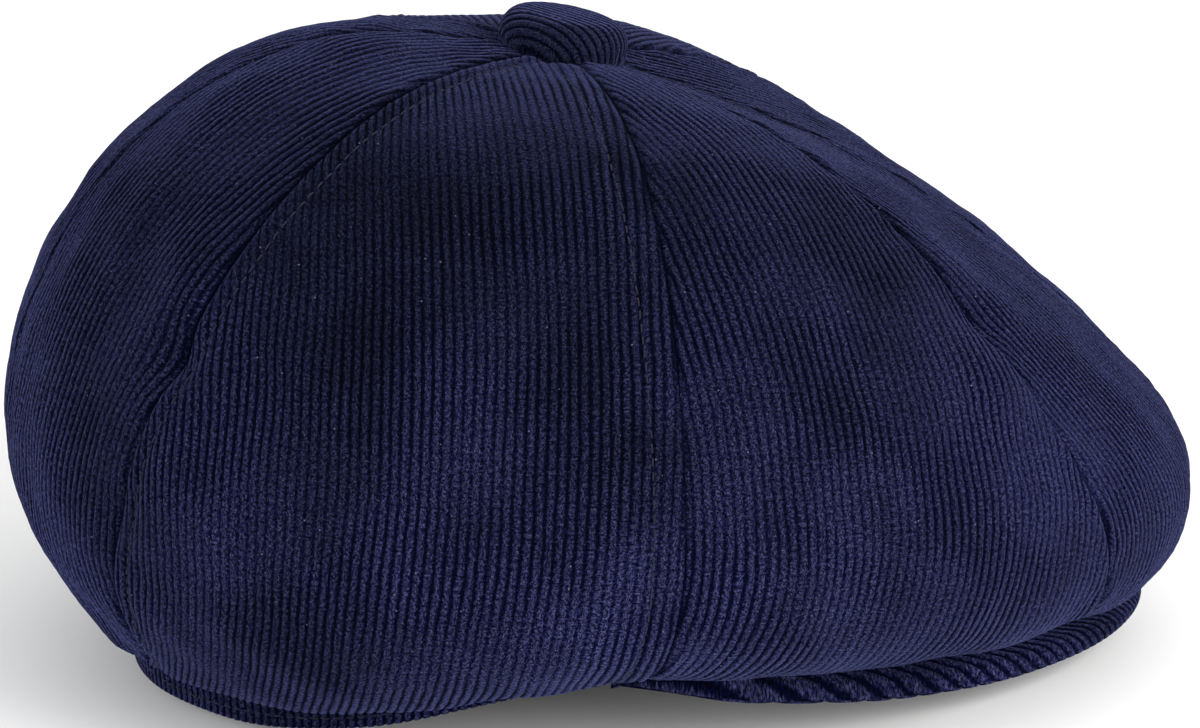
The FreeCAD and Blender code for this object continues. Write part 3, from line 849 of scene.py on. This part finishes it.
def sweep_band(name, end, section, step, material, ribbed):
    """The front or back length of a band: a section of (depth, rise) points carried round."""
    dense = np.linspace(*np.radians(BAND_SPANS[end]), BAND_SAMPLES)
    lengths = travelled(band_points(dense, 0.0, 0.0))
    around = np.linspace(0, lengths[-1], int(lengths[-1] / step))
    angles = np.interp(around, lengths, dense)[None, :]
    depth, rise = (np.array(section)[:, axis][:, None] for axis in range(2))
    base = band_points(angles, rise, depth)
    normals = grid_normals(base)
    outward = base[0] * np.array([1, 1, 0])
    if (normals[0] * outward).sum() < 0:
        normals = -normals
    across = np.broadcast_to(around[None, :], base.shape[:2])
    along = np.broadcast_to(travelled(np.array(section))[:, None], base.shape[:2])
    cloth = np.stack([across, along], axis=-1)
    pile = np.zeros(base.shape[:2])
    relief = BAND_UNEVENNESS * soft_noise(base, 30.0, 91)
    if ribbed:
        pile = wale_height(across + 0.12 * soft_noise(base, 20.0, 90))
        relief = relief + BAND_WALES * WALE_DEPTH * (pile - WALE_MIDDLE)
    points = base + normals * relief[..., None]
    node = "%s_%s" % (name, end)
    piece = grid_piece(node + "_cloth", points, normals, None, material, pile, cloth)
    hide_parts(node)
    carry_band(piece, end)


def folded_hem(top, inside):
    """The band's cloth: down the outside, round under the interlining and up again inside."""
    middle = HEM_FOLD / 2
    section = [(0.0, rise) for rise in np.linspace(top, HEM_TURN, 14)]
    for turn in np.linspace(0, math.pi, 13)[1:-1]:
        level, drop = math.cos(turn), math.sin(turn)
        section.append((middle - middle * math.copysign(abs(level) ** HEM_SQUARENESS, level),
                        HEM_TURN * (1 - drop ** HEM_SQUARENESS)))
    section += [(HEM_FOLD, rise) for rise in np.linspace(HEM_TURN, inside, 5)]
    return section


def closed_strip(depth, thickness, foot, top):
    """A flat strip of cloth with rounded edges: the outline of its section, all the way round."""
    middle, roundness = depth + 0.5 * thickness, 0.4 * thickness
    section = [(depth, rise) for rise in np.linspace(top, foot, 16)]
    section += [(middle, foot - roundness)]
    section += [(depth + thickness, rise) for rise in np.linspace(foot, top, 16)]
    section += [(middle, top + roundness), (depth, top)]
    return section


outside_cloth = folded_hem(BAND_HEIGHT, BAND_INSIDE_HEIGHT)
inside_cloth = closed_strip(SWEATBAND_DEPTH, SWEATBAND_CLOTH, SWEATBAND_FOOT, SWEATBAND_HEIGHT - 0.5)
# The rows of stitches: height above the hem, depth inwards and whether they face out or in.
STITCH_ROWS = {
    "hem": (3.0, -0.05, 1),
    "sweatband": (4.0, SWEATBAND_DEPTH + SWEATBAND_CLOTH + 0.1, -1),
}
for end, span in BAND_SPANS.items():
    sweep_band("band", end, outside_cloth, WALE / WALE_STEPS, corduroy, True)
    sweep_band("sweatband", end, inside_cloth, SWEATBAND_STEP, sweatband_cloth, False)
    turns = np.radians(np.linspace(span[0] + STITCH_ROW_GAP, span[1] - STITCH_ROW_GAP, 400))
    for row, (rise, depth, facing) in STITCH_ROWS.items():
        path = band_points(turns, rise, depth)
        out = path * np.array([1 / HEM_HALF_WIDTH ** 2, 1 / HEM_HALF_LENGTH ** 2, 0])
        out *= facing / np.linalg.norm(out, axis=1, keepdims=True)
        carry_band(stitches("topstitch_%s_%s" % (row, end), path, out, None), end)

# ---- peak


def peak_seam(angle):
    """The middle of the peak's thickness where it is sewn to the band."""
    across = -(HEM_HALF_WIDTH + PEAK_SEAM_CLEARANCE) * np.sin(angle)
    along = -(HEM_HALF_LENGTH + PEAK_SEAM_CLEARANCE) * np.cos(angle)
    return np.stack([across, along, hem_height(angle) + PEAK_SEAM_RISE], axis=-1)


def peak_edge(angle):
    """The middle of the peak's thickness along its outer edge, which rises steeply at the corners."""
    corner = np.abs(angle) / math.radians(PEAK_END)
    corner_width = HEM_HALF_WIDTH + PEAK_SEAM_CLEARANCE + PEAK_CORNER_WIDTH
    width = PEAK_HALF_WIDTH - (PEAK_HALF_WIDTH - corner_width) * corner ** 8
    rise = (PEAK_CORNER_HEIGHT - PEAK_EDGE_HEIGHT) * (1 - np.abs(np.cos(angle))) ** 3
    along = -PEAK_REACH * np.cos(angle)
    return np.stack([-width * np.sin(angle), along, PEAK_EDGE_HEIGHT + rise], axis=-1)


PEAK_COLUMNS = 900
PEAK_FLAT_ROWS = 26
PEAK_EDGE_ROWS = 22
COVERS_MEET = -42  # degrees below level, round the peak's edge
PEAK_RELIEF = 0.2  # unevenness of the covers
PEAK_SEAM_DIP = 0.35  # at the seam where they meet


def peak_cover(name, node, face):
    """One cover of the peak, face up (1) or down (-1): flat out to the edge, then part of the edge."""
    angles = np.radians(np.linspace(-PEAK_END, PEAK_END, PEAK_COLUMNS))
    seam, edge = peak_seam(angles), peak_edge(angles)
    run = np.gradient(edge, axis=0)
    outward = np.stack([-run[:, 1], run[:, 0], np.zeros(len(angles))], axis=-1)
    outward /= np.linalg.norm(outward, axis=1, keepdims=True)
    outward *= np.sign((outward * edge).sum(1))[:, None]
    room = np.abs(((edge - seam) * outward).sum(1))
    radius = np.minimum(PEAK_HALF_THICKNESS, PEAK_MARGIN * room + PEAK_OVERHANG)[:, None]
    rim = seam + (edge - seam) * (1 - radius / room[:, None])
    landing = rim + outward * (radius + PEAK_OVERHANG)
    landing_angles = np.arccos(np.clip(-landing[:, 1] / PEAK_REACH, -1, 1)) * np.sign(angles)
    drop = (peak_edge(landing_angles)[:, 2] - rim[:, 2])[:, None]
    upright = np.array([0.0, 0.0, 1.0])
    rows, normals, travel = [], [], []
    for share in np.linspace(0, 1, PEAK_FLAT_ROWS):
        flat = seam + (rim - seam) * share
        rows.append(flat + upright * face * PEAK_HALF_THICKNESS)
        normals.append(np.broadcast_to(upright * face, seam.shape))
        travel.append(flat)
    arc_start = 90 * face
    for turn in np.radians(np.linspace(arc_start, COVERS_MEET, PEAK_EDGE_ROWS)[1:]):
        level, lift = math.cos(turn), math.sin(turn)
        rise = drop * level + PEAK_HALF_THICKNESS * lift
        rows.append(rim + (landing - rim) * level + upright * rise)
        normals.append(outward * level + upright * lift)
        travel.append(rim + outward * radius * abs(turn - math.radians(arc_start)))
    base, normals, unrolled = np.array(rows), np.array(normals), np.array(travel)
    pile = wale_height(unrolled[..., 0] + 0.15 * soft_noise(base, 26.0, 120))
    relief = WALE_DEPTH * (pile - 0.5) + PEAK_RELIEF * soft_noise(base, 40.0, 121)
    relief = relief - PEAK_SEAM_DIP * bump(np.arange(len(rows))[:, None] - (len(rows) - 1), 1.2)
    piece = grid_piece(name, base + normals * relief[..., None], normals, "peak", corduroy,
                       pile, unrolled[..., :2])
    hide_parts(node)


peak_cover("peak_top_cloth", "peak_top_cover", 1)
peak_cover("peak_under_cloth", "peak_under_cover", -1)

# ---- button

BUTTON_RADIUS = 15
BUTTON_HEIGHT = 7.2
BUTTON_ROUNDING = 5.5
BUTTON_LIFT = 1.8
BUTTON_TILT = math.radians(11)
BUTTON_GRAIN = math.radians(-40)  # direction of the wales on the button
BUTTON_NAP = 0.25  # how much fuller the pile on the button is
BUTTON_DOME = 0.2  # how far the top swells
BUTTON_WALL_FOOT = 0.3  # height of the wall's foot, where the cloth turns in under the button
BUTTON_TUCK = (0.4, 1.0, 1.9, 3.0)  # how far in from the wall the rows below its foot lie
GATHER_START, GATHER_SPREAD = 17, 6  # distance from the middle where the cloth starts to gather
GATHER_DEPTH, GATHERS = 0.35, 26
SKIRT_ROWS, SKIRT_SPREAD = 6, 4  # rows that are drawn down to the crown
SKIRT_SINK = 0.5
CROWN_TOP = CROWN_RINGS[0][3]


def crown_top_height(points):
    """Height of the crown under points near the button."""
    down = np.linspace(0, 0.3, 60)
    turns = np.arctan2(-points[..., 0], -points[..., 1])
    heights = np.zeros(turns.shape)
    for place in np.ndindex(turns.shape):
        line = crown_surface.points(turns[place], down)
        reach = math.hypot(*points[place][:2])
        heights[place] = np.interp(reach, np.hypot(line[:, 0], line[:, 1]), line[:, 2])
    return heights


def button_cloth():
    """The covered button: a disc of corduroy drawn down over a dome and gathered under its rim."""
    flat, wall_top = BUTTON_RADIUS - BUTTON_ROUNDING, BUTTON_HEIGHT - BUTTON_ROUNDING
    outline = [(radius, BUTTON_HEIGHT + BUTTON_DOME * (1 - (radius / flat) ** 2))
               for radius in np.linspace(0.05, flat, 22)]
    outline += [(flat + BUTTON_ROUNDING * math.cos(turn), wall_top + BUTTON_ROUNDING * math.sin(turn))
                for turn in np.radians(np.linspace(90, 0, 34))[1:]]
    outline += [(BUTTON_RADIUS, height) for height in np.linspace(wall_top, BUTTON_WALL_FOOT, 4)[1:]]
    outline += [(BUTTON_RADIUS - inset, BUTTON_WALL_FOOT - 0.5 * inset) for inset in BUTTON_TUCK]
    outline = np.array(outline)
    travel = travelled(outline)
    turns = np.linspace(0, 2 * math.pi, 300)[None, :]
    radius, height = outline[:, 0][:, None], outline[:, 1][:, None]
    base = np.stack(np.broadcast_arrays(radius * np.cos(turns), radius * np.sin(turns), height), -1)
    normals = grid_normals(base)
    if normals[10, :, 2].sum() < 0:
        normals = -normals
    across = travel[:, None] * np.cos(turns - BUTTON_GRAIN)
    along = travel[:, None] * np.sin(turns - BUTTON_GRAIN)
    pile = wale_height(across)
    fresh_nap = pile + BUTTON_NAP
    gather = smooth_step((travel[:, None] - GATHER_START) / GATHER_SPREAD)
    relief = WALE_DEPTH * (pile - WALE_MIDDLE) * (1 - 0.5 * gather)
    relief = relief + GATHER_DEPTH * gather * np.sin(GATHERS * turns)
    points = base + normals * relief[..., None]
    tilt = np.array(Matrix.Rotation(BUTTON_TILT, 3, "X"))
    place = np.array([0, 0, CROWN_TOP]) + tilt @ np.array([0, 0, BUTTON_LIFT])
    points = points @ tilt.T + place
    rows_down = np.arange(len(outline)) - (len(outline) - SKIRT_ROWS)
    drawn = smooth_step(rows_down / SKIRT_SPREAD)[:, None]
    skirt = drawn[:, 0] > 0
    seat = crown_top_height(points[skirt]) - SKIRT_SINK
    points[skirt, :, 2] += drawn[skirt] * (seat - points[skirt, :, 2])
    piece = grid_piece("button_cloth", points, normals @ tilt.T, "crown", corduroy,
                       fresh_nap, np.stack([across, along], -1))
    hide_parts("button_cover")


button_cloth()

# ---- size label

LABEL_DEPTH = SWEATBAND_DEPTH + SWEATBAND_CLOTH + 0.25
LABEL_HALF_SPAN = 9  # degrees either side of the centre back
LABEL_FOOT, LABEL_TOP = 6, 22
LABEL_WAVE = 0.22
LABEL_CLOTH = 0.4
label_turns = np.radians(np.linspace(180 - LABEL_HALF_SPAN, 180 + LABEL_HALF_SPAN, 40))[None, :]
label_rises = np.linspace(LABEL_FOOT, LABEL_TOP, 24)[:, None]
label_grid = band_points(label_turns, label_rises, LABEL_DEPTH)
label_out = np.broadcast_to(np.array([0.0, 1.0, 0.0]), label_grid.shape)
label_wave = LABEL_WAVE * soft_noise(label_grid, 14.0, 200)[..., None]
label_piece = grid_piece("size_label_cloth", label_grid + label_out * label_wave, label_out,
                         "crown", label_cloth)
thicken(label_piece, LABEL_CLOTH)
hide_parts("size_label")

# ---- finishes of the CAD pieces that stay

CAD_FINISHES = {
    canvas: ("interlining_front", "interlining_back"),
    board: ("peak_board",),
    aluminium: ("button_shell", "button_back", "button_washer"),
    black_brass: ("button_prong", "snap_stud", "snap_socket"),
}
for material, nodes in CAD_FINISHES.items():
    for node in nodes:
        mesh = frame["nodes"][node].data
        mesh.materials.clear()
        mesh.materials.append(material)

# ---- floor


def floor_material():
    """A pale, even floor."""
    nodes = Nodes("floor")
    colour = nodes.mix(nodes.noise(nodes.place, 3.0, 2.0), (0.88, 0.88, 0.88), (0.90, 0.90, 0.90))
    return nodes.finish(Base_Color=colour, Roughness=0.9, Specular_IOR_Level=0.1)


FLOOR_REACH = 30.0
FLOOR_DROP = 0.0012  # room for the cloth that stands proud of the CAD's hem
floor_height = cad_box[0].z - FLOOR_DROP
floor_corners = [(x * FLOOR_REACH, y * FLOOR_REACH, floor_height)
                 for x, y in ((-1, -1), (1, -1), (1, 1), (-1, 1))]
floor_mesh = bpy.data.meshes.new("floor")
floor_mesh.from_pydata(floor_corners, [], [(0, 1, 2, 3)])
floor_mesh.materials.append(floor_material())
floor = bpy.data.objects.new("floor", floor_mesh)
bpy.context.scene.collection.objects.link(floor)

world = bpy.data.worlds.new("studio")
world.use_nodes = True
background = world.node_tree.nodes["Background"]
background.inputs["Color"].default_value = (1.0, 1.0, 1.0, 1)
background.inputs["Strength"].default_value = 1.0
bpy.context.scene.world = world

# ---- camera and light

CAMERA_AZIMUTH = -99
CAMERA_ELEVATION = 17
CAMERA_DISTANCE = 1.308
CAMERA_LENS = 165.0
# The point in the middle of the picture: a little ahead of the cap's middle and above the hem.
AIM = Vector((0.0016, -0.0095, 0.0668))


def aimed_object(name, data, azimuth, elevation, distance):
    """A camera or lamp, at degrees round the cap and above the floor, that faces the cap."""
    turn, rise = math.radians(azimuth), math.radians(elevation)
    level = math.cos(rise)
    direction = Vector((math.sin(turn) * level, -math.cos(turn) * level, math.sin(rise)))
    thing = bpy.data.objects.new(name, data)
    thing.location = AIM + distance * direction
    thing.rotation_euler = (AIM - thing.location).to_track_quat("-Z", "Y").to_euler()
    bpy.context.scene.collection.objects.link(thing)
    return thing


def add_area_light(name, azimuth, elevation, distance, width, height, power, colour):
    """A rectangular lamp, in metres and watts."""
    data = bpy.data.lights.new(name, "AREA")
    data.shape = "RECTANGLE"
    data.size = width
    data.size_y = height
    data.energy = power
    data.color = colour
    aimed_object(name, data, azimuth, elevation, distance)


camera_data = bpy.data.cameras.new("camera")
camera_data.lens = CAMERA_LENS
camera_data.sensor_width = 36.0
camera = aimed_object("camera", camera_data, CAMERA_AZIMUTH, CAMERA_ELEVATION, CAMERA_DISTANCE)
bpy.context.scene.camera = camera

add_area_light("key", -45, 22, 1.6, 1.2, 1.2, 34.0, (1.0, 0.99, 0.97))
add_area_light("fill", -135, 10, 1.8, 1.6, 1.2, 22.0, (0.97, 0.98, 1.0))

bpy.context.scene.view_settings.view_transform = "Standard"
